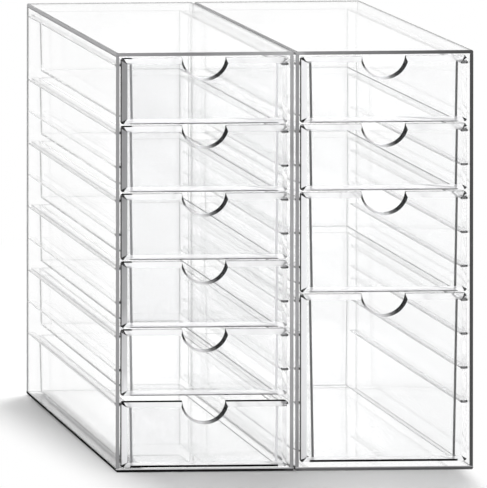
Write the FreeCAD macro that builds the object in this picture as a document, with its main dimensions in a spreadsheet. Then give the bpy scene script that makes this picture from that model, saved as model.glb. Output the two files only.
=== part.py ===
"""Two clear drawer towers for stamps and other craft supplies, side by side.

The left tower holds six equal drawers, and the right one two small drawers, a medium one
and a large one. Each case is bonded from flat sheet, with ledges along both side walls.
Each drawer is a moulded tray, whose two side flanges ride on a pair of ledges, with a
bevelled front bonded across its open end. The lowest left drawer stands on the base of
its case, just under its ledges, as it does when it is pushed in too low.

Millimetres; +X right, +Y to the back, +Z up. The origin is the centre of the footprint.
"""
import FreeCAD, Part
import Sketcher
import os
import re

SIZES = [
    ("unit_wide", 152.0, "case, outside, side to side"),
    ("unit_deep", 240.0, "case, outside, front to back"),
    ("unit_gap", 1.6, "space between the two cases"),
    ("sheet_thick", 3.0, "sheet of the case"),
    ("edge_round", 1.6, "rounding of the long outer edges of a case"),
    ("slot_pitch", 29.05, "from one ledge down to the next"),
    ("ledge_wide", 5.8, "ledge, out from the side wall"),
    ("ledge_thick", 1.7, "ledge, top to bottom"),
    ("ledge_end_gap", 0.8, "from the back of a drawer front to the ledge ends"),
    ("top_gap", 1.6, "over the highest drawer fronts"),
    ("front_gap", 1.1, "between one drawer front and the next"),
    ("front_side_gap", 1.7, "between a drawer front and each side wall"),
    ("front_thick", 3.2, "drawer front, face to back"),
    ("bevel_wide", 5.0, "sloping border of a drawer front, across its face"),
    ("bevel_deep", 1.6, "sloping border of a drawer front, front to back"),
    ("notch_radius", 18.8, "finger notch in the top edge of a drawer front"),
    ("notch_lift", 1.0, "centre of the notch above the top edge"),
    ("rim_wide", 2.0, "sloping rim round the notch, across the face"),
    ("rim_deep", 1.2, "sloping rim round the notch, front to back"),
    ("tray_wall", 2.1, "side and back walls of a tray"),
    ("tray_floor", 1.8, "bottom of a tray"),
    ("tray_slope", 0.018, "lean of the tray walls, out per unit up"),
    ("tray_lift", 0.4, "underside of a tray above the foot of its front"),
    ("tray_ledge_gap", 3.4, "between a tray wall and the ledge tips"),
    ("tray_back_gap", 2.0, "behind a tray"),
    ("flange_thick", 1.2, "side flange of a tray, top to bottom"),
    ("flange_drop", 4.5, "top of a flange below the top of its front"),
    ("flange_wall_gap", 1.9, "between a flange and the side wall"),
    ("run_gap", 0.2, "running clearance between a flange and its ledge"),
    ("under_gap", 0.3, "between a flange that runs too low and the ledge over it"),
    ("floor_gap", 0.3, "between a drawer that stands in the base and the base"),
]

SLOT_COUNT = 12      # ledge pitches in the height of a case
LEDGE_SLOTS = [0, *range(2, 11)]    # the pitches that have ledges, counted from the top

# Each drawer is the pitch at which it hangs, and how many pitches tall it is.
TOWERS = {
    "left": {"side": -1, "drawers": [(0, 2), (2, 2), (4, 2), (6, 2), (8, 2), (10, 2)]},
    "right": {"side": 1, "drawers": [(0, 2), (2, 2), (4, 3), (7, 5)]},
}
LOW_DRAWER = "left_drawer_6"                # the one that stands in the base of its case

# Fits and places, as formulas on the sizes, so that the pieces keep fitting.
FITS = {
    "inner_wide": "unit_wide - 2 * sheet_thick",
    "low_drop": "flange_thick + run_gap + ledge_thick + under_gap",
    "wall_tall": f"top_gap + {SLOT_COUNT} * slot_pitch - front_gap + low_drop + floor_gap",
    "unit_tall": "wall_tall + 2 * sheet_thick",
    "unit_offset": "(unit_wide + unit_gap) / 2",
    "front_face": "-unit_deep / 2",
    "back_face": "unit_deep / 2 - sheet_thick",
    "first_top": "unit_tall - sheet_thick - top_gap",
    "ledge_drop": "flange_drop + flange_thick + run_gap + ledge_thick",
    "ledge_front": "front_face + front_thick + ledge_end_gap",
    "front_wide": "inner_wide - 2 * front_side_gap",
    "tray_wide": "inner_wide - 2 * (ledge_wide + tray_ledge_gap)",
    "tray_back": "back_face - tray_back_gap",
    "tray_deep": "tray_back - front_face - front_thick",
    "flange_span": "inner_wide - 2 * flange_wall_gap",
}

doc = FreeCAD.newDocument("craft_drawer_towers")
sheet = doc.addObject("Spreadsheet::Sheet", "sizes")
for row, (alias, value, meaning) in enumerate(SIZES, start=1):
    sheet.set(f"A{row}", alias)
    sheet.set(f"B{row}", str(value))
    sheet.set(f"C{row}", meaning)
    sheet.setAlias(f"B{row}", alias)
doc.recompute()

ALIASES = {alias for alias, _, _ in SIZES}
TOUCHING = 1e-6
nodes = []


def formula(text):
    """Writes a formula on sizes and fits as one on the cells of the sheet."""
    def written_out(match):
        name = match.group()
        if name in FITS:
            return f"({formula(FITS[name])})"
        return f"sizes.{name}" if name in ALIASES else name
    return re.sub(r"[a-z]+(_[a-z]+)*", written_out, text)


def bind(thing, **formulas):
    """Ties properties of an object to the sheet."""
    for name, text in formulas.items():
        thing.setExpression(name, formula(text))


def place(thing, x="0", y="0", z="0"):
    """Ties the place of an object to the sheet."""
    for axis, text in (("x", x), ("y", y), ("z", z)):
        thing.setExpression(f"Placement.Base.{axis}", formula(text))


def node(kind, name):
    """A new object that is one node of the model, under its own name."""
    thing = doc.addObject(kind, name)
    thing.Label = name
    nodes.append(thing)
    return thing


def plane_of(body, role):
    return [(next(item for item in body.Origin.OriginFeatures if item.Role == role), "")]


def sketch_on(body, name, role):
    drawing = body.newObject("Sketcher::SketchObject", name)
    drawing.AttachmentSupport = plane_of(body, role)
    drawing.MapMode = "FlatFace"
    return drawing


def constrain(drawing, label, constraint, text):
    """Adds a dimension to a sketch and ties it to the sheet."""
    index = drawing.addConstraint(constraint)
    drawing.renameConstraint(index, label)
    drawing.setExpression(f"Constraints.{label}", formula(text))


def slab(name, role, wide, long, thick, reverse=False):
    """A body padded from a rectangle, centred across and starting at 0 the long way."""
    body = node("PartDesign::Body", name)
    drawing = sketch_on(body, "outline", role)
    corners = [FreeCAD.Vector(*point) for point in ((-1, 0), (1, 0), (1, 1), (-1, 1))]
    for line in range(4):
        drawing.addGeometry(Part.LineSegment(corners[line], corners[(line + 1) % 4]))
    for line in range(4):
        drawing.addConstraint(Sketcher.Constraint("Coincident", line, 2, (line + 1) % 4, 1))
        drawing.addConstraint(Sketcher.Constraint("Vertical" if line % 2 else "Horizontal", line))
    drawing.addConstraint(Sketcher.Constraint("Symmetric", 0, 1, 0, 2, -1, 1))
    constrain(drawing, "wide", Sketcher.Constraint("Distance", 0, 2), wide)
    constrain(drawing, "long", Sketcher.Constraint("Distance", 1, 2), long)
    pad = body.newObject("PartDesign::Pad", "pad")
    pad.Profile = drawing
    pad.Reversed = reverse
    bind(pad, Length=thick)
    doc.recompute()
    return body


def edges_in(shape, axis, value):
    """Names of the edges that lie in the plane where one coordinate has this value."""
    return [f"Edge{number}" for number, edge in enumerate(shape.Edges, start=1)
            if all(abs(getattr(vertex.Point, axis) - value) < TOUCHING for vertex in edge.Vertexes)]


def case_end(name, centre, foot, outer_z):
    """The top or base of a case, with its two long outer edges rounded."""
    body = slab(name, "XY_Plane", "unit_wide", "unit_deep", "sheet_thick")
    pad = body.Tip
    long_edges = [edge for edge in edges_in(pad.Shape, "z", outer_z)
                  if abs(pad.Shape.getElement(edge).tangentAt(0).y) > 0.5]
    fillet = body.newObject("PartDesign::Fillet", "long_edges")
    fillet.Base = (pad, long_edges)
    bind(fillet, Radius="edge_round")
    place(body, centre, "front_face", foot)


def ledge_set(name, ledge_x):
    """The ledges of one side wall, as a group of separate strips."""
    strips = []
    for slot in LEDGE_SLOTS:
        strip = doc.addObject("Part::Box", "ledge")
        bind(strip, Length="ledge_wide", Width="back_face - ledge_front", Height="ledge_thick")
        place(strip, ledge_x, "ledge_front", f"first_top - {slot} * slot_pitch - ledge_drop")
        strips.append(strip)
    node("Part::Compound", name).Links = strips


def case(tower, centre):
    """Top, base, back and side walls of one case, with the ledges of its side walls."""
    case_end(f"{tower}_case_top", centre, "sheet_thick + wall_tall", sheet.sheet_thick)
    case_end(f"{tower}_case_base", centre, "0", 0)
    back = slab(f"{tower}_case_back", "XZ_Plane", "inner_wide", "wall_tall", "sheet_thick", True)
    place(back, centre, "back_face", "sheet_thick")
    for side, wall_x, ledge_x in (
            ("left", "-unit_wide / 2", "-inner_wide / 2"),
            ("right", "inner_wide / 2", "inner_wide / 2 - ledge_wide")):
        wall = slab(f"{tower}_case_{side}_wall", "YZ_Plane", "unit_deep", "wall_tall", "sheet_thick")
        place(wall, f"{centre} + {wall_x}", "0", "sheet_thick")
        ledge_set(f"{tower}_case_{side}_ledges", f"{centre} + {ledge_x}")


def drawer_front(name, centre, foot, tall):
    """A flat front with a sloping border, and a finger notch with a sloping rim."""
    body = slab(name, "XZ_Plane", "front_wide", tall, "front_thick", True)
    pad = body.Tip
    border = body.newObject("PartDesign::Chamfer", "border")
    border.Base = (pad, edges_in(pad.Shape, "y", 0))
    border.ChamferType = "Two distances"
    bind(border, Size="bevel_deep", Size2="bevel_wide")

    drawing = sketch_on(body, "notch_circle", "XZ_Plane")
    drawing.addGeometry(Part.Circle(FreeCAD.Vector(0, 1, 0), FreeCAD.Vector(0, 0, 1), 1))
    drawing.addConstraint(Sketcher.Constraint("PointOnObject", 0, 3, -2))
    constrain(drawing, "radius", Sketcher.Constraint("Radius", 0, 1), "notch_radius")
    rise = Sketcher.Constraint("DistanceY", -1, 1, 0, 3, 1)
    constrain(drawing, "rise", rise, f"{tall} + notch_lift")
    notch = body.newObject("PartDesign::Pocket", "notch")
    notch.Profile = drawing
    notch.Type = "ThroughAll"
    notch.Midplane = True

    rim = body.newObject("PartDesign::SubtractiveCone", "notch_rim")
    rim.AttachmentSupport = plane_of(body, "XZ_Plane")
    rim.MapMode = "FlatFace"
    bind(rim, Radius1="notch_radius", Radius2="notch_radius + rim_wide", Height="rim_deep")
    rim.setExpression("AttachmentOffset.Base.y", formula(f"{tall} + notch_lift"))
    rim.setExpression("AttachmentOffset.Base.z", formula("-rim_deep"))
    place(body, centre, "front_face", foot)


def leaning_block(tall, foot_lift, wall):
    """A block whose sides and back lean out upwards, set in from the tray's skin by a wall."""
    block = doc.addObject("Part::Wedge", "leaning_block")
    foot_loss = f"tray_slope * ({tall} - {foot_lift})"
    bind(block,
         Ymin=foot_lift, Ymax=tall,
         Xmin=f"{wall} + {foot_loss} - tray_wide / 2", Xmax=f"tray_wide / 2 - {wall} - {foot_loss}",
         X2min=f"{wall} - tray_wide / 2", X2max=f"tray_wide / 2 - {wall}",
         Zmin=f"{wall} + {foot_loss}", Zmax="tray_deep", Z2min=wall, Z2max="tray_deep")
    block.Placement.Rotation = FreeCAD.Rotation(FreeCAD.Vector(1, 0, 0), 90)
    return block


def tray(name, centre, foot, tall):
    """A tray that is open at the front, with a flange along the top of each side."""
    skin = leaning_block(tall, "0", "0")
    hollow = leaning_block(tall, "tray_floor", "tray_wall")
    flanges = doc.addObject("Part::Box", "flanges")
    bind(flanges, Length="flange_span", Width="tray_deep", Height="flange_thick")
    place(flanges, "-flange_span / 2", "-tray_deep", f"{tall} - flange_thick")
    solid = doc.addObject("Part::MultiFuse", "tray_solid")
    solid.Shapes = [skin, flanges]
    solid.Refine = True
    made = node("Part::Cut", name)
    made.Base = solid
    made.Tool = hollow
    made.Refine = True
    place(made, centre, "tray_back", foot)


def drawer(name, centre, slot, pitches):
    tall = f"({pitches} * slot_pitch - front_gap)"
    foot = f"first_top - {slot} * slot_pitch - {tall}"
    if name == LOW_DRAWER:
        foot += " - low_drop"
    drawer_front(f"{name}_front", centre, foot, tall)
    tray(f"{name}_tray", centre, f"{foot} + tray_lift", f"({tall} - tray_lift - flange_drop)")


for tower, parts in TOWERS.items():
    middle = f"{parts['side']} * unit_offset"
    case(tower, middle)
    for number, (slot, pitches) in enumerate(parts["drawers"], start=1):
        drawer(f"{tower}_drawer_{number}", middle, slot, pitches)
doc.recompute()

for thing in doc.Objects:
    if {"Invalid", "Error"} & set(thing.State):
        raise RuntimeError(f"{thing.Label} failed: {thing.State}")
for thing in nodes:
    if thing.Shape.isNull() or not thing.Shape.isValid():
        raise RuntimeError(f"{thing.Label} has no valid shape")

os.makedirs("parts", exist_ok=True)
for thing in nodes:
    thing.Shape.exportStep(f"parts/{thing.Label}.step")
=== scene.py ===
"""Two clear acrylic drawer towers: the looks of every sheet, ledge, front and tray.

Metres; +X right, +Y to the back, +Z up. Each piece is built in place, around the box of the
frame's node that it stands for, so it keeps that node's size and seat.
"""
import math

import bmesh
import bpy
from mathutils import Matrix, Vector


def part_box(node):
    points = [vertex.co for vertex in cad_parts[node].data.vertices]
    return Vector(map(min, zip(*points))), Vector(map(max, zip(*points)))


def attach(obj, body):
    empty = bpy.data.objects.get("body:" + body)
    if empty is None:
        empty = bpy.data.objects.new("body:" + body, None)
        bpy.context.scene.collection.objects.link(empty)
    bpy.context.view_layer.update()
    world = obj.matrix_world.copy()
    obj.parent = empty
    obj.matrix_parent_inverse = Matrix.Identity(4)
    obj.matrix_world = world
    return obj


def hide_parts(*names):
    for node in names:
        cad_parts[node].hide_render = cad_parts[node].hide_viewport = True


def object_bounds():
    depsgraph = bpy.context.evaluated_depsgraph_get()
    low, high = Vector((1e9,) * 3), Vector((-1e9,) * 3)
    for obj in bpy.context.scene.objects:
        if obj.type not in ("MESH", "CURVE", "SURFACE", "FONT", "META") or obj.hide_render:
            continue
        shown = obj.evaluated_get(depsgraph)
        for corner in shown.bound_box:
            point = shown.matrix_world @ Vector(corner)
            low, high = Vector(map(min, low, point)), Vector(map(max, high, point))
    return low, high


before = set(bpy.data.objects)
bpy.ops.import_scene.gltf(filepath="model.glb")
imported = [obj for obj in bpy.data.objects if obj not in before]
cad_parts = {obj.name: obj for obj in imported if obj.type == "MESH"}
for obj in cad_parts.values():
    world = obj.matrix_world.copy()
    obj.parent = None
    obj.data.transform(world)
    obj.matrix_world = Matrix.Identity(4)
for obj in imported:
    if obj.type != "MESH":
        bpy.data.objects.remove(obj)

cad_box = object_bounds()
(left_end, front_end, _), (right_end, back_end, _) = cad_box
scene = bpy.context.scene
MM = 0.001
NEAR = 1e-6                     # places closer than this, in metres, count as one

# Roundings and small reveals of the sheets, ledges, fronts and trays.
EDGE_ROUND = 1.6 * MM           # long outer edges of a case
POLISH_ROUND = 0.35 * MM        # every other edge of a case sheet
FOOT_ROUND = 0.9 * MM           # lower front edge of a base
FOOT_SHADE_TALL = 2.1 * MM            # painted shade: dark part of a base's edge, just above the floor
FRONT_LINE = 1.1 * MM           # painted shade line along the bottom of a front
FRONT_LINE_LOWEST = 2.2 * MM    # the same on the lowest drawers
FRONT_LINE_INSET = 8.0 * MM     # it stops this far from each end
TOP_LINE = 0.9 * MM             # painted shade line along the top of a front
TOP_SHADE_MARK = 9.5 * MM             # its darker painted shade at the left end
NOTCH_SHADE_MARKS = (17.6 * MM, 20.8 * MM)  # painted shade marks on the bottom line, from the middle
LEDGE_THICK = 1.7 * MM
LEDGE_PITCH = 29.05 * MM
LEDGE_SLOTS = [0, *range(2, 11)]  # pitches under the top that have a ledge
LEDGE_ROUND = 0.3 * MM
LEDGE_END_SHADE_DEEP = 2.2 * MM       # painted shade: dark part of a ledge behind its front end
LEDGE_SHADE_LINE = 0.6 * MM           # painted shade line at the foot of a ledge that carries a drawer
BOND_GAP = 0.02 * MM            # film of air that keeps two bonded faces apart
BEVEL_WIDE = 5.0 * MM           # sloping border of a front
BEVEL_DEEP = 1.6 * MM
FRONT_CORNER = 2.4 * MM         # outline corners of a front
FRONT_ARRIS = 0.7 * MM          # polished arris between the border and the edge of a front
NOTCH_RADIUS = 18.8 * MM
NOTCH_LIFT = 1.0 * MM           # centre of the notch above the top edge of a front
RIM_WIDE = 2.0 * MM             # sloping rim round the notch
RIM_DEEP = 1.2 * MM
TRAY_WALL = 2.1 * MM
TRAY_FLOOR = 1.8 * MM
TRAY_SLOPE = 0.018              # lean of a tray's walls, out per unit up
TRAY_LEDGE_GAP = 3.4 * MM       # between a tray wall and the tips of the ledges
TRAY_CORNER = 0.8 * MM          # outer corners of a tray
TRAY_INNER = 0.4 * MM           # inner corners of a tray
FLANGE_THICK = 1.2 * MM
FLANGE_ROUND = 0.25 * MM
RIM_SHADE_LINE = 0.7 * MM             # painted shade: grey part of a rim, beside the hollow of its tray
NOTCH_STEPS = 96                # round a full circle

# Angles in radians, and the share of a face's way that lies along an axis.
FLAT_ANGLE = 0.002              # edges flatter than this are dissolved
SMOOTH_ANGLE = 0.09             # edges flatter than this are shaded smooth
SHARP_ANGLE = 1.2               # edges sharper than this are rounded
SQUARE = 0.99                   # a face with more than this is flat on the axis
ROUNDED = 0.97                  # a face with less than this on every axis is a rounding

# Which material of its piece a face has.
PLAIN = 0                       # the first one, of any piece
EDGE = 1                        # cut edge of a sheet or a tray, painted grey as shade
# painted shade along the foot and the sides of a base
SHEET_FOOT = 2
# LEDGE_END and LEDGE_FOOT are painted shade
LEDGE_END, LEDGE_FOOT = 1, 2
# LINE and BLACK are painted shade lines; TRIM, CORNER and NOTCH carry painted light and shade;
# FIELD carries painted shade on most left fronts
TRIM, CORNER, NOTCH, LINE, BLACK, FIELD = range(1, 7)
# TRAY_FLOOR_END and TRAY_LINE take painted shade, TRAY_SOFT painted light and TRAY_RIM a painted
# highlight
TRAY_FLOOR_END, TRAY_SOFT, TRAY_LINE, TRAY_RIM = range(2, 6)

# Finishes.
ACRYLIC_IOR = 1.49
MATT_IOR = 1.02                 # lines that mirror nothing
LAMP_SHARE = 0.76               # what a clear or satin skin lets pass of a lamp
SMEAR_DIMS = 0.985              # what a smear leaves of a tint
SHEET_HAZE, TRAY_HAZE, FRONT_HAZE = 9, 11, 12  # smears in a metre
# Painted light and shade on the outer faces of a front: pale sides, a grey top, a dark foot.
TRIM_SIDE_LIGHT = (0.92, 0.92, 0.93, 1)
TRIM_TOP_SHADE = (0.42, 0.42, 0.43, 1)
TRIM_FOOT_SHADE = (0.16, 0.16, 0.17, 1)
TRIM_IOR = 1.3

# The floor, in metres.
FLOOR_SIZE = 6.0
FLOOR_DROP = 0.4 * MM           # keeps the floor clear of the bases
FLOOR_TONES = (0.94, 0.94, 0.94, 1), (0.92, 0.92, 0.92, 1)
# Painted shade: a dark strip on the floor under the left side, seen through the base.
STRIP_TONE = (0.05, 0.05, 0.053, 1)
STRIP_LEFT = 0.001, 0.004       # edges of the painted shade strip under the left side, each soft
STRIP_RIGHT = 0.022, 0.031      # between two distances from the outline of the towers
STRIP_ENDS = 0.002, 0.006
SEEN_THROUGH = 0.92             # how white the floor is in gloss and behind clear plastic
SHADE_REACH = 0.32, 0.7         # from the middle, between these, the shade fades out
SHADE_LEFT = -0.037, 0.050      # the same past the left side
SHADE_RIGHT = -0.020, 0.002     # and past the right side
SHADE_SPREAD = 0.18             # the shadow to the left is this much wider for each metre back

DRAWERS = {"left": 6, "right": 4}


# ---------------------------------------------------------------- shader maths

class Amount:
    """A number in a finish. Sums, differences and products of amounts add Math nodes."""

    def __init__(self, finish, socket):
        self.finish = finish
        self.socket = socket

    def _math(self, operation, first, second):
        return self.finish.number("ShaderNodeMath", {"operation": operation}, {0: first, 1: second})

    def __add__(self, other):
        return self._math("ADD", self, other)

    def __sub__(self, other):
        return self._math("SUBTRACT", self, other)

    def __rsub__(self, other):
        return self._math("SUBTRACT", other, self)

    def __mul__(self, other):
        return self._math("MULTIPLY", self, other)

    __radd__ = __add__
    __rmul__ = __mul__


class Finish:
    """One material, built up from nodes."""

    def __init__(self, name):
        self.material = bpy.data.materials.new(name)
        self.material.use_nodes = True
        self.tree = self.material.node_tree
        self.tree.nodes.clear()
        self.output = self.tree.nodes.new("ShaderNodeOutputMaterial")
        self.place = self.node("ShaderNodeTexCoord").outputs["Object"]

    def node(self, kind, settings=None, sockets=None):
        """Adds a node: its settings first, then the values or links of its sockets."""
        made = self.tree.nodes.new(kind)
        for name, value in (settings or {}).items():
            if name == "stops":
                self.set_stops(made.color_ramp, value)
            else:
                setattr(made, name, value)
        for key, value in (sockets or {}).items():
            if isinstance(value, Amount):
                value = value.socket
            if isinstance(value, bpy.types.NodeSocket):
                self.tree.links.new(value, made.inputs[key])
            else:
                made.inputs[key].default_value = value
        return made

    def number(self, kind, settings=None, sockets=None, output=0):
        """One output of a new node, as an amount."""
        return Amount(self, self.node(kind, settings, sockets).outputs[output])

    @staticmethod
    def set_stops(ramp, stops):
        """Puts (position, colour) pairs on a colour ramp."""
        while len(ramp.elements) < len(stops):
            ramp.elements.new(1.0)
        for element, (position, colour) in zip(ramp.elements, stops):
            element.position = position
            element.color = (*colour, 1.0)

    def noise(self, scale, detail=2.0, stretch=(1, 1, 1)):
        """Noise from 0 to 1 with this many features a metre, stretched along the axes."""
        mapped = self.node("ShaderNodeMapping", None, {"Vector": self.place, "Scale": stretch})
        return self.number("ShaderNodeTexNoise", None, {
            "Vector": mapped.outputs[0], "Scale": scale, "Detail": detail})

    def split(self, vector):
        """The three parts of a vector, as amounts."""
        parts = self.node("ShaderNodeSeparateXYZ", None, {0: vector}).outputs
        return [Amount(self, part) for part in parts]

    def along_box(self, axis):
        """0 at the low end of the pair of towers along an axis, 1 at the high end."""
        return self.number("ShaderNodeMapRange", None, {
            "Value": self.split(self.place)[axis],
            "From Min": cad_box[0][axis], "From Max": cad_box[1][axis]})

    def step(self, value, low, high, soft_low=0.0, soft_high=1.0):
        """Takes value from low..high to soft_low..soft_high, smoothly and without overshoot."""
        return self.number("ShaderNodeMapRange", {"interpolation_type": "SMOOTHSTEP"}, {
            "Value": value, "From Min": low, "From Max": high,
            "To Min": soft_low, "To Max": soft_high})

    def blend(self, factor, first, second):
        """A colour between two colours."""
        mixed = self.node("ShaderNodeMix", {"data_type": "RGBA"}, {0: factor, 6: first, 7: second})
        return mixed.outputs[2]

    def between(self, factor, first, second):
        """A shader between two shaders."""
        return self.node("ShaderNodeMixShader", None, {0: factor, 1: first, 2: second}).outputs[0]

    def done(self, shader):
        """Gives the shader to the surface, and the finished material back."""
        self.tree.links.new(shader, self.output.inputs["Surface"])
        return self.material


def scratches(finish):
    """Hairline scratches and handling marks, 0 where clean and 1 in a scratch."""
    fine = finish.noise(900, 1.0, (1, 0.04, 0.5))
    cross = finish.noise(700, 1.0, (0.5, 0.6, 0.05))
    patches = finish.step(finish.noise(14), 0.48, 0.66)
    lines = finish.step(fine, 0.70, 0.78) + finish.step(cross, 0.71, 0.80) * 0.7
    return lines * patches


def dimmed(tint):
    """A tint where a smear lies on it."""
    return (*(part * SMEAR_DIMS for part in tint), 1)


def clear_shader(finish, tint, haze_scale, right_shade_tint=None):
    """Clear plastic: hardly tinted, with smears, hairlines and a slight waviness.

    Where a right tint is given, the tint goes over to it from left to right: painted shade, lighter
    to the right.
    """
    smear = finish.step(finish.noise(haze_scale, 3.0, (1, 0.5, 1)), 0.42, 0.70)
    lines = scratches(finish)
    clean, smeared = (*tint, 1), dimmed(tint)
    if right_shade_tint:
        rightward = finish.step(finish.split(finish.place)[0], *FIELD_SHADE_CHANGE)
        clean = finish.blend(rightward, clean, (*right_shade_tint, 1))
        smeared = finish.blend(rightward, smeared, dimmed(right_shade_tint))
    colour = finish.blend(smear * 0.6, clean, smeared)
    roughness = smear * 0.018 + lines * 0.10 + 0.006
    wave = finish.noise(22, 1.0) + finish.noise(160) * 0.02
    bump = finish.node("ShaderNodeBump", None, {
        "Strength": 0.05, "Distance": 0.0006, "Height": wave})
    return finish.node("ShaderNodeBsdfPrincipled", None, {
        "Base Color": colour, "Roughness": roughness, "IOR": ACRYLIC_IOR,
        "Transmission Weight": 1.0, "Normal": bump.outputs[0]}).outputs[0]


def lets_lamps_through(finish, shader):
    """Lets lamps pass, dimmed, so that the floor isn't left in the dark."""
    path = finish.node("ShaderNodeLightPath")
    open_air = finish.node("ShaderNodeBsdfTransparent", None, {
        "Color": (LAMP_SHARE, LAMP_SHARE, LAMP_SHARE, 1)})
    return finish.between(path.outputs["Is Shadow Ray"], shader, open_air.outputs[0])


def clear_plastic(name, tint, haze_scale=SHEET_HAZE, right_shade_tint=None):
    """Clear plastic as a material of its own."""
    finish = Finish(name)
    shader = clear_shader(finish, tint, haze_scale, right_shade_tint)
    return finish.done(lets_lamps_through(finish, shader))


def satin(finish, grey, cover, tint, haze_scale=SHEET_HAZE, coat=0.3, ior=ACRYLIC_IOR):
    """Lays a satin grey over the clear plastic. cover is how much of the plastic it hides."""
    grain = finish.noise(1500, 1.0)
    flow = finish.noise(260, 3.0, (0.25, 0.25, 0.25))
    bump = finish.node("ShaderNodeBump", None, {
        "Strength": 0.12, "Distance": 0.00005, "Height": grain})
    skin = finish.node("ShaderNodeBsdfPrincipled", None, {
        "Base Color": grey, "Roughness": flow * 0.2 + 0.12, "IOR": ior,
        "Coat Weight": coat, "Coat Roughness": 0.05, "Normal": bump.outputs[0]})
    mixed = finish.between(cover, clear_shader(finish, tint, haze_scale), skin.outputs[0])
    return finish.done(lets_lamps_through(finish, mixed))


def grey_ramp(finish, factor, tones):
    """A grey that follows a factor from 0 to 1 through (place, tone) pairs."""
    stops = [(place, (tone, tone, tone * 1.02)) for place, tone in tones]
    return finish.node("ShaderNodeValToRGB", {"stops": stops}, {0: factor}).outputs[0]


def centred(noise, span):
    """A noise from 0 to 1 as one of this span around 0."""
    return (noise - 0.5) * span


def edge_shade_finish(name, tint, tones, cover, coat=0.3, ior=ACRYLIC_IOR):
    """A cut and polished edge, painted grey as shade for the light caught inside the sheet.

    Its painted shade runs from the left end of the pair of towers to the right end.
    """
    finish = Finish(name)
    drift = centred(finish.noise(30), 0.08)
    grey = grey_ramp(finish, finish.along_box(0) + drift, tones)
    return satin(finish, grey, cover, tint, coat=coat, ior=ior)


def facing(finish):
    """The parts of the way a surface looks, each from -1 to 1."""
    return finish.split(finish.node("ShaderNodeTexCoord").outputs["Normal"])


def trim_light_and_shade(name, tint, strip_shades):
    """Borders and edges of a front, painted light and shade by the way that each face looks.

    Slopes are painted with the light and shade they throw: nearly black far to the left, pale
    ahead and grey to the right. The left border's slope has painted shade from the lowest drawer
    up to the highest, and the outer faces have the painted tones set for side, top and foot.
    """
    finish = Finish(name)
    sideways, _, upward = facing(finish)
    half = sideways * 0.5 + 0.5
    uneven = centred(finish.noise(120, 2.0, (1, 1, 0.3)), 0.05)
    grey = grey_ramp(finish, half + uneven, [
        (0.0, 0.02), (0.25, 0.04), (0.31, 0.5), (0.42, 0.8), (0.49, 0.98), (0.7, 0.96),
        (0.8, 0.35), (1.0, 0.5)])
    streak = centred(finish.noise(260, 3.0, (1, 1, 0.12)), 0.125)
    strip = grey_ramp(finish, finish.along_box(2) + streak, strip_shades)
    is_strip = finish.step(half, 0.29, 0.32) * finish.step(half, 0.38, 0.42, 1.0, 0.0)
    with_strip = finish.blend(is_strip, grey, strip)
    is_side = finish.step(half, 0.003, 0.009, 1.0, 0.0)
    with_side = finish.blend(is_side, with_strip, TRIM_SIDE_LIGHT)
    above = finish.step(upward, 0.45, 0.85)
    lined = finish.blend(above, with_side, TRIM_TOP_SHADE)
    below = finish.step(upward, -0.95, -0.5, 1.0, 0.0)
    shaded = finish.blend(below, lined, TRIM_FOOT_SHADE)
    cover = finish.step(half, 0.36, 0.47, 0.95, 0.35) * finish.step(half, 0.56, 0.63, 1.0, 0.35)
    return satin(finish, shaded, cover, tint, FRONT_HAZE, coat=0.1, ior=TRIM_IOR)


def notch_shade_finish(name, tint):
    """The rim and wall of a finger notch, painted as shade and light: from nearly black at its
    right through grey to a light left side with a dark tip.
    """
    finish = Finish(name)
    looks = finish.node("ShaderNodeTexCoord").outputs["Normal"]
    flat = finish.node("ShaderNodeVectorMath", {"operation": "MULTIPLY"}, {0: looks, 1: (1, 0, 1)})
    around = finish.node("ShaderNodeVectorMath", {"operation": "NORMALIZE"}, {0: flat.outputs[0]})
    turn = finish.split(around.outputs[0])[0]
    uneven = centred(finish.noise(200), 0.12)
    grey = grey_ramp(finish, turn * 0.5 + 0.5 + uneven, [
        (0.0, 0.004), (0.22, 0.01), (0.33, 0.12), (0.42, 0.40), (0.6, 0.75), (0.88, 0.55),
        (0.95, 0.03)])
    return satin(finish, grey, 0.95, tint, FRONT_HAZE, coat=0.0, ior=MATT_IOR)


def mitre(name, tint, right_tone):
    """The small corner faces of a front, painted shade: nearly black at its left end, right_tone at
    the right.
    """
    finish = Finish(name)
    sideways = facing(finish)[0]
    uneven = centred(finish.noise(300), 0.1)
    grey = grey_ramp(finish, sideways * 0.5 + 0.5 + uneven, [(0.45, 0.006), (0.56, right_tone)])
    return satin(finish, grey, 0.95, tint, FRONT_HAZE, coat=0.0, ior=MATT_IOR)


def plain_satin(name, tint, dark, light, cover, coat=0.3, ior=ACRYLIC_IOR):
    """One grey all over, clouded between two tones."""
    finish = Finish(name)
    grey = grey_ramp(finish, finish.noise(60), [(0.35, dark), (0.65, light)])
    return satin(finish, grey, cover, tint, coat=coat, ior=ior)


def matt_shade_line(name, tint, dark, light, cover):
    """A line of painted shade, which mirrors nothing."""
    return plain_satin(name, tint, dark, light, cover, 0.0, MATT_IOR)


def fading_shade_line(name, tint, back_tone, front_tone, cover):
    """A fine edge painted as shade: darkest at the back of a case and fading towards its front."""
    finish = Finish(name)
    uneven = centred(finish.noise(40), 0.3)
    grey = grey_ramp(finish, finish.along_box(1) + uneven, [(0.1, front_tone), (0.95, back_tone)])
    return satin(finish, grey, cover, tint, coat=0.0, ior=MATT_IOR)


PLASTIC_TINT = (0.9975, 0.998, 0.9985)    # sheets, ledges and trays
TRIM_TINT = (1.0, 1.0, 1.0)
PALE_FIELD_TINT = (0.94, 0.945, 0.95)     # the flat field of a front tints at its face alone
# Painted shade: the fields of the left fronts, but for the fifth drawer, are tinted darker, less so
# to the right.
FIELD_SHADE_TINT = (0.765, 0.77, 0.78)
FIELD_SHADE_RIGHT_TINT = (0.91, 0.915, 0.92)
FIELD_SHADE_CHANGE = (-0.118, -0.048)            # where across a left front the painted shade of the tint changes, in metres
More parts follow.
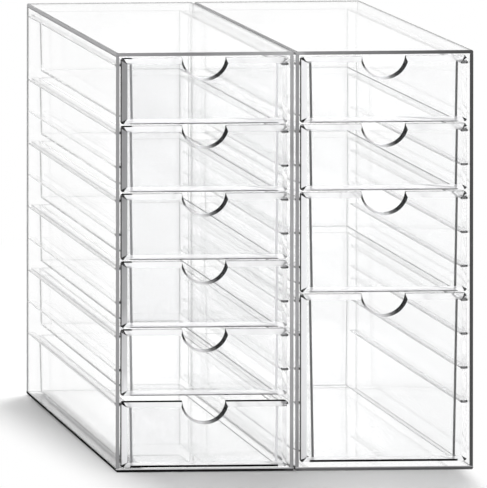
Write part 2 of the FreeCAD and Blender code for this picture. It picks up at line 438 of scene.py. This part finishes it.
# Painted shade on the slope of a front's left border, from the lowest drawer up to the highest.
LEFT_BEVEL_SHADES = [(0.0, 0.92), (0.17, 0.90), (0.24, 0.62), (0.33, 0.55), (0.40, 0.36),
                    (0.55, 0.30), (1.0, 0.22)]
RIGHT_BEVEL_SHADES = [(0.0, 0.80), (0.5, 0.90), (1.0, 0.88)]
# Painted shade on the cut edges of the sheets and bases, across the towers from left to right.
SHEET_EDGE_SHADES = [(0.0, 0.30), (0.25, 0.20), (0.48, 0.42), (0.52, 0.24), (0.75, 0.15),
                    (0.92, 0.06), (1.0, 0.03)]
BASE_EDGE_SHADES = [(0.0, 0.80), (0.46, 0.70), (0.54, 0.45), (1.0, 0.35)]
# Painted shade along the foot of a base.
FOOT_SHADES = [(0.0, 0.005), (0.47, 0.02), (0.53, 0.16), (1.0, 0.10)]
# Painted shade on the cut edges of the trays, across the towers from left to right.
TRAY_EDGE_SHADES = [(0.0, 0.28), (0.05, 0.28), (0.38, 0.9), (0.47, 0.9), (0.53, 0.06), (0.9, 0.04)]

sheet_clear = clear_plastic("case_sheet_clear", PLASTIC_TINT)
sheet_edge_shade = edge_shade_finish("case_sheet_edge", PLASTIC_TINT, SHEET_EDGE_SHADES, 0.95)
base_edge_shade = edge_shade_finish("case_base_edge", PLASTIC_TINT, BASE_EDGE_SHADES, 0.8)
sheet_foot_shade = edge_shade_finish("case_sheet_foot", PLASTIC_TINT, FOOT_SHADES, 0.99, 0.0, MATT_IOR)
ledge_clear = plain_satin("ledge_clear", PLASTIC_TINT, 0.90, 0.98, 0.06)
# Painted shade: the ledges on the right wall of the right tower get a greyer satin.
ledge_soft_shade = plain_satin("ledge_soft_shade", PLASTIC_TINT, 0.74, 0.84, 0.26)
ledge_end_shade = matt_shade_line("ledge_end_shade", PLASTIC_TINT, 0.01, 0.03, 0.95)
ledge_shade_line = fading_shade_line("ledge_shade_line", PLASTIC_TINT, 0.06, 0.55, 0.85)
pale_field = clear_plastic("drawer_front_pale_field", PALE_FIELD_TINT, FRONT_HAZE)
shaded_field = clear_plastic("drawer_front_grey_field", FIELD_SHADE_TINT, FRONT_HAZE,
                           FIELD_SHADE_RIGHT_TINT)
front_clear = clear_plastic("drawer_front_clear", TRIM_TINT, FRONT_HAZE)
front_trim_shades = {"left": trim_light_and_shade("left_front_trim", TRIM_TINT, LEFT_BEVEL_SHADES),
               "right": trim_light_and_shade("right_front_trim", TRIM_TINT, RIGHT_BEVEL_SHADES)}
front_corner_shades = {"left": mitre("left_front_corner", TRIM_TINT, 0.40),
                 "right": mitre("right_front_corner", TRIM_TINT, 0.02)}
front_notch_shade = notch_shade_finish("drawer_front_notch", TRIM_TINT)
# Painted shade: the dark lines along the bottom and the top of a front.
front_shade_line = matt_shade_line("drawer_front_line", TRIM_TINT, 0.10, 0.20, 0.92)
black_shade_line = matt_shade_line("drawer_front_black_line", TRIM_TINT, 0.002, 0.006, 0.99)
tray_clear = clear_plastic("drawer_tray_clear", PLASTIC_TINT, TRAY_HAZE)
tray_edge_shade = edge_shade_finish("drawer_tray_edge", PLASTIC_TINT, TRAY_EDGE_SHADES, 0.94)
# Painted shade: a pale grey on the front edge of a tray's floor.
tray_floor_end_shade = plain_satin("drawer_tray_floor_end", PLASTIC_TINT, 0.85, 0.95, 0.6)
# Painted light: the roundings of a tray are near white, in place of the dark lines they show.
tray_soft_light = plain_satin("drawer_tray_soft_corner", PLASTIC_TINT, 0.97, 1.0, 0.85)
# Painted shade: the line beside the hollow of a tray's rim, darker on two drawers.
tray_dark_shade_line = matt_shade_line("drawer_tray_dark_line", PLASTIC_TINT, 0.06, 0.12, 0.75)
tray_pale_shade_line = matt_shade_line("drawer_tray_pale_line", PLASTIC_TINT, 0.40, 0.55, 0.45)
# Painted highlight: a white band along the top of a tray's left rim.
tray_rim_highlight = plain_satin("drawer_tray_rim", PLASTIC_TINT, 0.98, 1.0, 0.9)


# ---------------------------------------------------------------- mesh helpers

def box_of(node):
    low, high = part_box(node)
    return Vector(low), Vector(high)


def block(shape, low, high):
    """A block between two corners, as new faces of a shape."""
    made = bmesh.ops.create_cube(shape, size=1.0)["verts"]
    bmesh.ops.scale(shape, vec=high - low, verts=made)
    bmesh.ops.translate(shape, vec=(low + high) / 2, verts=made)


def runs_back(edge):
    """Whether an edge runs from the front to the back."""
    return abs((edge.verts[1].co - edge.verts[0].co).normalized().y) > 0.9


def every_end(edge, test):
    """Whether both ends of an edge pass a test."""
    return all(test(vert.co) for vert in edge.verts)


def round_edges(shape, edges, radius, segments=3):
    bmesh.ops.bevel(shape, geom=edges, offset=radius, offset_type="OFFSET", segments=segments,
                    profile=0.5, affect="EDGES", clamp_overlap=True, material=-1)


def finish_piece(shape, name, body, nodes, materials):
    """Makes a shape a piece that rides on a body and stands for its nodes."""
    for edge in shape.edges:
        edge.smooth = len(edge.link_faces) == 2 and edge.calc_face_angle() < SMOOTH_ANGLE
    for face in shape.faces:
        face.smooth = True
    mesh = bpy.data.meshes.new(name)
    shape.to_mesh(mesh)
    shape.free()
    for material in materials:
        mesh.materials.append(material)
    piece = bpy.data.objects.new(name, mesh)
    scene.collection.objects.link(piece)
    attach(piece, body)
    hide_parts(*nodes)


def score(shape, faces, point, normal):
    """Scores a straight line across some faces, which splits them there."""
    around = {part for face in faces for part in (*face.verts, *face.edges, face)}
    bmesh.ops.bisect_plane(shape, geom=list(around), plane_co=point, plane_no=normal)


def loose_object(shape, name):
    """An object with no finish, that stands for no node."""
    mesh = bpy.data.meshes.new(name)
    shape.to_mesh(mesh)
    shape.free()
    made = bpy.data.objects.new(name, mesh)
    scene.collection.objects.link(made)
    return made


def edge_faces(shape, directions):
    """Gives the faces that look these ways, and their roundings, the cut-edge finish of painted
    shade.
    """
    for face in shape.faces:
        if any(face.normal.dot(Vector(way)) > 0.4 for way in directions):
            face.material_index = EDGE


# ---------------------------------------------------------------- case

def case_sheet(tower, part, draw_in, cut_ways, long_round=None):
    """One flat sheet of a case. draw_in is the bond gap on the axes where it meets others.

    long_round is 1 where the upper long edges are rounded and -1 where the lower ones are.
    A base has a rounded lower front edge, and is painted dark along its foot and its sides as
    shade.
    """
    node = f"{tower}_case_{part}"
    low, high = box_of(node)
    shape = bmesh.new()
    block(shape, low + Vector(draw_in), high - Vector(draw_in))
    if long_round:
        outer = [edge for edge in shape.edges if runs_back(edge)
                 and (edge.verts[0].co.z - (low.z + high.z) / 2) * long_round > 0]
        round_edges(shape, outer, EDGE_ROUND, 6)
    if part == "base":
        front_foot = [edge for edge in shape.edges if every_end(
            edge, lambda at: at.y < low.y + NEAR and at.z < low.z + NEAR)]
        round_edges(shape, front_foot, FOOT_ROUND, 4)
        bmesh.ops.bisect_plane(shape, geom=shape.verts[:] + shape.edges[:] + shape.faces[:],
                               plane_co=(0, 0, low.z + FOOT_SHADE_TALL), plane_no=(0, 0, 1))
    sharp = [edge for edge in shape.edges if edge.calc_face_angle() > SHARP_ANGLE]
    round_edges(shape, sharp, POLISH_ROUND)
    edge_faces(shape, cut_ways)
    foot_top = low.z + FOOT_SHADE_TALL
    # Painted shade: the foot and the sides of a base are dark.
    for face in shape.faces:
        if part == "base" and face.normal.z > -SQUARE and (
                face.calc_center_median().z < foot_top or abs(face.normal.x) > 0.5):
            face.material_index = SHEET_FOOT
    finish_piece(shape, f"{node}_sheet", "root", [node],
                 [sheet_clear, base_edge_shade if part == "base" else sheet_edge_shade, sheet_foot_shade])


def ledges(tower, side):
    """The ledges of one side wall: strips with rounded tips and cut ends, dark behind the ends as
    painted shade.
    """
    node = f"{tower}_case_{side}_ledges"
    low, high = box_of(node)
    inward = 1 if side == "left" else -1
    low.x += BOND_GAP * (inward > 0)
    high.x -= BOND_GAP * (inward < 0)
    high.y -= BOND_GAP
    shape = bmesh.new()
    for foot in ledge_feet(high.z):
        block(shape, Vector((low.x, low.y, foot)), Vector((high.x, high.y, foot + LEDGE_THICK)))
    tip = high.x if inward > 0 else low.x
    loose = [edge for edge in shape.edges
             if not every_end(edge, lambda at: abs(at.x - tip) > NEAR)
             or every_end(edge, lambda at: abs(at.y - low.y) < NEAR)]
    seated = [edge for edge in shape.edges if edge not in loose and runs_back(edge)]
    round_edges(shape, loose + seated, LEDGE_ROUND)
    end = low.y + LEDGE_END_SHADE_DEEP
    score(shape, shape.faces, (0, end, 0), (0, 1, 0))
    # Painted shade: dark behind the front end of each ledge.
    for face in shape.faces:
        if face.calc_center_median().y < end:
            face.material_index = LEDGE_END
    if tower == side == "left":
        for slot, foot in zip(LEDGE_SLOTS, ledge_feet(high.z)):
            if slot % 2 == 0:
                shade_ledge_foot(shape, low.x, end, foot)
    # The right tower's right-hand ledges take the greyer satin, as painted shade.
    skin = ledge_soft_shade if tower == side == "right" else ledge_clear
    finish_piece(shape, f"{node}_strips", "root", [node],
                 [skin, ledge_end_shade, ledge_shade_line])


def shade_ledge_foot(shape, wall_face, end, foot):
    """Paints a shade line along the lower edge of a ledge, where it is bonded to the wall."""
    top = foot + LEDGE_SHADE_LINE
    bonded = wall_face + LEDGE_ROUND
    score(shape, [face for face in shape.faces if face.calc_center_median().x < bonded],
          (0, 0, top), (0, 0, 1))
    for face in shape.faces:
        at = face.calc_center_median()
        if at.x < bonded and at.y > end and foot - LEDGE_ROUND < at.z < top:
            face.material_index = LEDGE_FOOT


def ledge_feet(top):
    """The heights of the undersides of the ledges, under the top of the highest one."""
    return [top - LEDGE_THICK - slot * LEDGE_PITCH for slot in LEDGE_SLOTS]


def case(tower):
    gap = BOND_GAP
    front_and_back = [(0, -1, 0), (0, 1, 0)]
    all_round = [*front_and_back, (-1, 0, 0), (1, 0, 0)]
    case_sheet(tower, "top", (0, 0, 0), all_round, long_round=1)
    case_sheet(tower, "base", (0, 0, 0), all_round, long_round=-1)
    case_sheet(tower, "back", (gap, 0, gap), [])
    for side in ("left", "right"):
        case_sheet(tower, f"{side}_wall", (0, 0, gap), front_and_back)
        ledges(tower, side)


# ---------------------------------------------------------------- drawers

def cut_away(piece, cutter):
    """The mesh of one object with another cut out of it. Both objects are removed."""
    tool = piece.modifiers.new("notch", "BOOLEAN")
    tool.operation = "DIFFERENCE"
    tool.solver = "MANIFOLD"
    tool.object = cutter
    bpy.context.view_layer.update()
    graph = bpy.context.evaluated_depsgraph_get()
    cut = bpy.data.meshes.new_from_object(piece.evaluated_get(graph))
    bpy.data.objects.remove(piece)
    bpy.data.objects.remove(cutter)
    return cut


def notch_cutter(centre, face_y, back_y):
    """A round cutter that opens out in a cone at the face of a front."""
    clear = 2 * MM
    steep = RIM_WIDE / RIM_DEEP
    profile = [(0.0, face_y - clear),
               (NOTCH_RADIUS + RIM_WIDE + clear * steep, face_y - clear),
               (NOTCH_RADIUS, face_y + RIM_DEEP),
               (NOTCH_RADIUS, back_y + clear),
               (0.0, back_y + clear)]
    shape = bmesh.new()
    ring = [shape.verts.new((centre.x + radius, along, centre.z)) for radius, along in profile]
    lines = [shape.edges.new(pair) for pair in zip(ring, ring[1:])]
    bmesh.ops.spin(shape, geom=ring + lines, cent=Vector((centre.x, 0, centre.z)), axis=(0, 1, 0),
                   angle=math.tau, steps=NOTCH_STEPS, use_merge=True)
    bmesh.ops.remove_doubles(shape, verts=shape.verts, dist=NEAR)
    bmesh.ops.recalc_face_normals(shape, faces=shape.faces)
    return loose_object(shape, "notch_cutter")


def drawer_front(drawer):
    """A thick front: flat field, sloping border with mitred corners, rimmed finger notch."""
    node = f"{drawer}_front"
    low, high = box_of(node)
    shape = bmesh.new()
    block(shape, Vector((low.x, low.y + BEVEL_DEEP, low.z)), high)
    round_edges(shape, [edge for edge in shape.edges if runs_back(edge)], FRONT_CORNER, 4)
    for x in (low.x + BEVEL_WIDE, high.x - BEVEL_WIDE):
        for z in (low.z + BEVEL_WIDE, high.z - BEVEL_WIDE):
            shape.verts.new((x, low.y, z))
    bmesh.ops.delete(shape, geom=shape.edges[:], context="EDGES_FACES")
    bmesh.ops.convex_hull(shape, input=shape.verts[:])
    bmesh.ops.dissolve_limit(shape, angle_limit=FLAT_ANGLE, verts=shape.verts, edges=shape.edges)
    outline = [edge for edge in shape.edges
               if every_end(edge, lambda at: abs(at.y - low.y - BEVEL_DEEP) < NEAR)]
    round_edges(shape, outline, FRONT_ARRIS, 2)
    solid = loose_object(shape, node)
    centre = Vector(((low.x + high.x) / 2, 0, high.z + NOTCH_LIFT))
    cut = cut_away(solid, notch_cutter(centre, low.y, high.y))

    shape = bmesh.new()
    shape.from_mesh(cut)
    bpy.data.meshes.remove(cut)
    bmesh.ops.remove_doubles(shape, verts=shape.verts, dist=NEAR)
    bmesh.ops.dissolve_limit(shape, angle_limit=FLAT_ANGLE, verts=shape.verts, edges=shape.edges)
    paint_front(shape, drawer, low, high, centre)
    tower = drawer.split("_")[0]
    # Painted shade: the left tower's fronts, but the fifth, get the darker field.
    field = shaded_field if tower == "left" and drawer != "left_drawer_5" else pale_field
    finish_piece(shape, f"{node}_panel", drawer, [node],
                 [front_clear, front_trim_shades[tower], front_corner_shades[tower], front_notch_shade,
                  front_shade_line, black_shade_line, field])


def paint_front(shape, drawer, low, high, centre):
    """Splits the top and bottom of a front into its painted shade lines and gives each face its
    finish.
    """
    left = drawer.startswith("left")
    lowest = drawer in ("left_drawer_6", "right_drawer_4")
    line_top = low.z + (FRONT_LINE_LOWEST if lowest else FRONT_LINE)
    line_foot = high.z - TOP_LINE
    start, stop = low.x + FRONT_LINE_INSET, high.x - FRONT_LINE_INSET
    for height in (line_top, line_foot):
        score(shape, shape.faces, (0, 0, height), (0, 0, 1))
    marks = [centre.x + side * reach for side in (-1, 1) for reach in NOTCH_SHADE_MARKS]
    for x in (start, stop, *marks):
        score(shape, [face for face in shape.faces if face.calc_center_median().z < line_top],
              (x, 0, 0), (1, 0, 0))
    score(shape, [face for face in shape.faces if face.calc_center_median().z > line_foot],
          (low.x + TOP_SHADE_MARK, 0, 0), (1, 0, 0))
    for face in shape.faces:
        way = face.normal
        at = face.calc_center_median()
        from_middle = abs(at.x - centre.x)
        if (at.xz - centre.xz).length < NOTCH_RADIUS + RIM_WIDE + 0.2 * MM and abs(way.y) < SQUARE:
            face.material_index = NOTCH
        # Painted shade: dark lines along the bottom and the top of a front, black on the lowest
        # drawers and at the marks beside the notch.
        elif at.z < line_top and start < at.x < stop and way.y < 0.5:
            marked = NOTCH_SHADE_MARKS[0] < from_middle < NOTCH_SHADE_MARKS[1]
            face.material_index = BLACK if lowest or marked else LINE
        elif left and at.z > line_foot and way.y < 0.5 and (lowest or at.x < low.x + TOP_SHADE_MARK):
            face.material_index = BLACK
        elif way.y < -SQUARE:
            face.material_index = FIELD
        elif max(abs(way.x), way.y) > SQUARE:
            face.material_index = PLAIN
        elif min(abs(way.x), abs(way.z)) > 0.05 and at.y < low.y + BEVEL_DEEP:
            face.material_index = CORNER
        else:
            face.material_index = TRIM


def extrude(shape, faces, reach):
    """Extrudes faces along Y, and gives back the faces at the far end."""
    drawn = bmesh.ops.extrude_face_region(shape, geom=faces)["geom"]
    bmesh.ops.translate(shape, vec=(0, reach, 0), verts=[
        item for item in drawn if isinstance(item, bmesh.types.BMVert)])
    return [item for item in drawn if isinstance(item, bmesh.types.BMFace)]


def tray(drawer, tower):
    """An open tray with leaning walls, soft corners and a flange along each side."""
    node = f"{drawer}_tray"
    low, high = box_of(node)
    ledge_tip = box_of(f"{tower}_case_left_ledges")[1].x
    middle = (low.x + high.x) / 2
    half = middle - ledge_tip - TRAY_LEDGE_GAP      # from the middle to the top of a wall
    flange = (high.x - low.x) / 2
    front = low.y + BOND_GAP
    inner_back = high.y - TRAY_WALL
    floor_top = low.z + TRAY_FLOOR
    flange_foot = high.z - FLANGE_THICK

    def lean(z):
        return TRAY_SLOPE * (high.z - z)

    skin = [(half - lean(low.z), low.z), (half - lean(flange_foot), flange_foot),
            (flange, flange_foot), (flange, high.z)]
    hollow = [(half - TRAY_WALL, high.z), (half - TRAY_WALL - lean(floor_top), floor_top)]
    shape = bmesh.new()
    outer = [shape.verts.new((middle + x, high.y, z)) for x, z in skin]
    inner = [shape.verts.new((middle + x, high.y, z)) for x, z in hollow]
    mirrored_inner = [shape.verts.new((middle - x, high.y, z)) for x, z in reversed(hollow)]
    mirrored_outer = [shape.verts.new((middle - x, high.y, z)) for x, z in reversed(skin)]
    section = [shape.faces.new(corners) for corners in (
        outer + inner,
        mirrored_inner + mirrored_outer,
        [outer[0], inner[-1], mirrored_inner[0], mirrored_outer[-1]],
        inner + mirrored_inner)]
    shape.normal_update()
    back_wall = extrude(shape, section, inner_back - high.y)
    channel = [face for face in back_wall if face.calc_center_median().z < flange_foot
               and (len(face.verts) > 4 or face.calc_center_median().z < floor_top)]
    extrude(shape, channel, front - inner_back)
    bmesh.ops.delete(shape, geom=channel, context="FACES")
    for vert in shape.verts:                        # the back wall leans too
        if vert.co.y > inner_back - NEAR:
            vert.co.y -= lean(vert.co.z)
    bmesh.ops.recalc_face_normals(shape, faces=shape.faces)
    round_tray(shape, low, high, inner_back, floor_top, flange_foot, half, middle)
    paint_tray(shape, high, floor_top, flange_foot, front, half, middle)
    # Painted shade: the two highest drawers of the right tower get the darker line.
    dark = drawer in ("right_drawer_1", "right_drawer_2")
    finish_piece(shape, f"{node}_shell", drawer, [node],
                 [tray_clear, tray_edge_shade, tray_floor_end_shade, tray_soft_light,
                  tray_dark_shade_line if dark else tray_pale_shade_line, tray_rim_highlight])


def paint_tray(shape, high, floor_top, flange_foot, front, half, middle):
    """Splits the left rim of a tray along its line, and gives each face its finish, painted shade
    and light among them.
    """
    hollow = half - TRAY_WALL
    edge_faces(shape, [(0, -1, 0)])
    for reach in (half, hollow + RIM_SHADE_LINE):
        score(shape, [face for face in shape.faces if face.calc_center_median().z > flange_foot],
              (middle - reach, 0, 0), (1, 0, 0))
    for face in shape.faces:
        at = face.calc_center_median()
        aside = abs(at.x - middle)
        rounding = max(map(abs, face.normal)) < ROUNDED
        on_top = at.z > high.z - 1.2 * FLANGE_ROUND
        if face.material_index == EDGE and at.y < front + TRAY_WALL:
            face.material_index = TRAY_FLOOR_END if at.z < floor_top else EDGE
        elif on_top and at.x < middle and hollow < aside < half:
            face.material_index = TRAY_RIM if aside > hollow + RIM_SHADE_LINE else TRAY_LINE
        elif rounding and aside < hollow and floor_top < at.z < flange_foot:
            right_corner = at.x > middle + hollow - 2 * MM and at.z < floor_top + 0.5 * MM
            face.material_index = TRAY_LINE if right_corner else TRAY_SOFT
        elif rounding and at.z < flange_foot - 0.5 * MM:
            face.material_index = TRAY_SOFT
        else:
            face.material_index = PLAIN


def round_tray(shape, low, high, inner_back, floor_top, flange_foot, half, middle):
    """Rounds the outer and the inner corners of a tray, and then what is still crisp."""
    bottom = [edge for edge in shape.edges if every_end(edge, lambda at: at.z < low.z + NEAR)
              and not every_end(edge, lambda at: at.y < low.y + 1 * MM)]
    corners = [edge for edge in shape.edges
               if every_end(edge, lambda at: at.y > high.y - 3 * MM and at.z < flange_foot + NEAR
                            and abs(at.x - middle) > half - TRAY_WALL)
               and abs(edge.verts[0].co.z - edge.verts[1].co.z) > 5 * MM]
    round_edges(shape, bottom + corners, TRAY_CORNER, 4)
    inside = [edge for edge in shape.edges
              if len(edge.link_faces) == 2 and not edge.is_convex
              and every_end(edge, lambda at: abs(at.x - middle) < half - TRAY_WALL * 0.9
                            and at.z > floor_top - NEAR and at.y < inner_back + 1 * MM)]
    round_edges(shape, inside, TRAY_INNER, 3)
    crisp = [edge for edge in shape.edges
             if len(edge.link_faces) == 2 and edge.is_convex
             and edge.calc_face_angle() > SHARP_ANGLE and edge.calc_length() > 1 * MM]
    round_edges(shape, crisp, FLANGE_ROUND, 2)


for tower, count in DRAWERS.items():
    case(tower)
    for number in range(1, count + 1):
        drawer_front(f"{tower}_drawer_{number}")
        tray(f"{tower}_drawer_{number}", tower)


# ---------------------------------------------------------------- floor, light, camera

def shade_strip_under_side(finish, from_left, from_front, before_back):
    """1 on the painted shade strip under the left side of the pair, 0 elsewhere."""
    return (finish.step(from_left, *STRIP_LEFT)
            * finish.step(from_left, *STRIP_RIGHT, 1.0, 0.0)
            * finish.step(from_front, *STRIP_ENDS)
            * finish.step(before_back, *STRIP_ENDS))


def floor():
    """A pale floor with the shadow on it, plain white farther out and in gloss and plastic, but for
    a painted shade strip under the left side.
    """
    shape = bmesh.new()
    bmesh.ops.create_grid(shape, x_segments=1, y_segments=1, size=FLOOR_SIZE)
    bmesh.ops.translate(shape, vec=(0, 0, -FLOOR_DROP), verts=shape.verts)
    ground = loose_object(shape, "studio_floor")
    finish = Finish("studio_floor")
    pale = finish.blend(finish.noise(40) * 0.5, *FLOOR_TONES)
    sideways, along, _ = finish.split(finish.place)
    from_front = along - front_end
    strip = shade_strip_under_side(finish, sideways - left_end, from_front, back_end - along)
    shaded = finish.blend(strip, pale, STRIP_TONE)
    matt = finish.node("ShaderNodeBsdfPrincipled", None, {
        "Base Color": shaded, "Roughness": 0.9, "Specular IOR Level": 0.0})
    studio = finish.node("ShaderNodeEmission", None, {"Color": (1, 1, 1, 1), "Strength": 1.0})
    path = finish.node("ShaderNodeLightPath").outputs
    seen_in = Amount(finish, path["Is Glossy Ray"]) + Amount(finish, path["Is Transmission Ray"])
    away = finish.number("ShaderNodeVectorMath", {"operation": "LENGTH"}, {0: finish.place},
                         "Value")
    beyond_left = left_end - sideways - from_front * SHADE_SPREAD
    shade = ((1.0 - finish.step(away, *SHADE_REACH))
             * (1.0 - finish.step(beyond_left, *SHADE_LEFT))
             * (1.0 - finish.step(sideways - right_end, *SHADE_RIGHT)))
    share = (seen_in * (SEEN_THROUGH - strip * SEEN_THROUGH)
             + Amount(finish, path["Is Camera Ray"]) * (1.0 - shade))
    ground.data.materials.append(finish.done(
        finish.between(share, matt.outputs[0], studio.outputs[0])))


def lamp(name, place, aim, size, power):
    light = bpy.data.lights.new(name, "AREA")
    light.size = size
    light.energy = power
    holder = bpy.data.objects.new(name, light)
    scene.collection.objects.link(holder)
    holder.location = place
    holder.rotation_euler = (Vector(aim) - Vector(place)).to_track_quat("-Z", "Y").to_euler()


def studio_world():
    """White all round: full strength where it is seen or mirrored, weaker where it lights."""
    world = bpy.data.worlds.new("studio")
    world.use_nodes = True
    tree = world.node_tree
    lit = tree.nodes["Background"]
    seen = tree.nodes.new("ShaderNodeBackground")
    for sky, strength in ((lit, 0.62), (seen, 1.0)):
        sky.inputs["Color"].default_value = (1, 1, 1, 1)
        sky.inputs["Strength"].default_value = strength
    path = tree.nodes.new("ShaderNodeLightPath")
    mix = tree.nodes.new("ShaderNodeMixShader")
    tree.links.new(path.outputs["Is Diffuse Ray"], mix.inputs[0])
    tree.links.new(seen.outputs[0], mix.inputs[1])
    tree.links.new(lit.outputs[0], mix.inputs[2])
    tree.links.new(mix.outputs[0], tree.nodes["World Output"].inputs["Surface"])
    scene.world = world


def lights():
    studio_world()
    lamp("overhead_lamp", place=(0.26, 0.36, 2.0), aim=(0, 0, 0), size=0.30, power=25)
    lamp("front_softbox", place=(-0.6, -2.6, 0.55), aim=(0, 0, 0.18), size=1.2, power=15)


def camera():
    """A view camera: its back stays parallel to the fronts, though it looks from the left
    and from above.
    """
    lens = 311.7                                    # millimetres, for a 36 mm wide back
    distance = 3.6136
    from_left, from_above = -0.342247, 0.222191     # direction to the camera
    toward = Vector((from_left, -math.sqrt(1 - from_left ** 2 - from_above ** 2), from_above))
    aim = Vector((-0.043745, -0.12, 0.19456))
    rightward = Vector((1, 0, -0.009)).normalized()
    upward = Vector((0, 0.0023374, 1)).normalized()
    eye = bpy.data.cameras.new("view_camera")
    eye.lens = lens
    eye.clip_end = 50
    holder = bpy.data.objects.new("view_camera", eye)
    stand = bpy.data.objects.new("camera_stand", None)
    for item in (holder, stand):
        scene.collection.objects.link(item)
    holder.parent = stand
    back = Matrix((rightward, upward, toward)).transposed().to_4x4()
    back.translation = aim + toward * distance
    holder.matrix_parent_inverse = back
    scene.camera = holder


scene.view_settings.view_transform = "Standard"
# Light passes through dozens of clear faces before it leaves the towers.
scene.cycles.max_bounces = 32
scene.cycles.transmission_bounces = 32
scene.cycles.glossy_bounces = 12
scene.cycles.transparent_max_bounces = 64
floor()
lights()
camera()
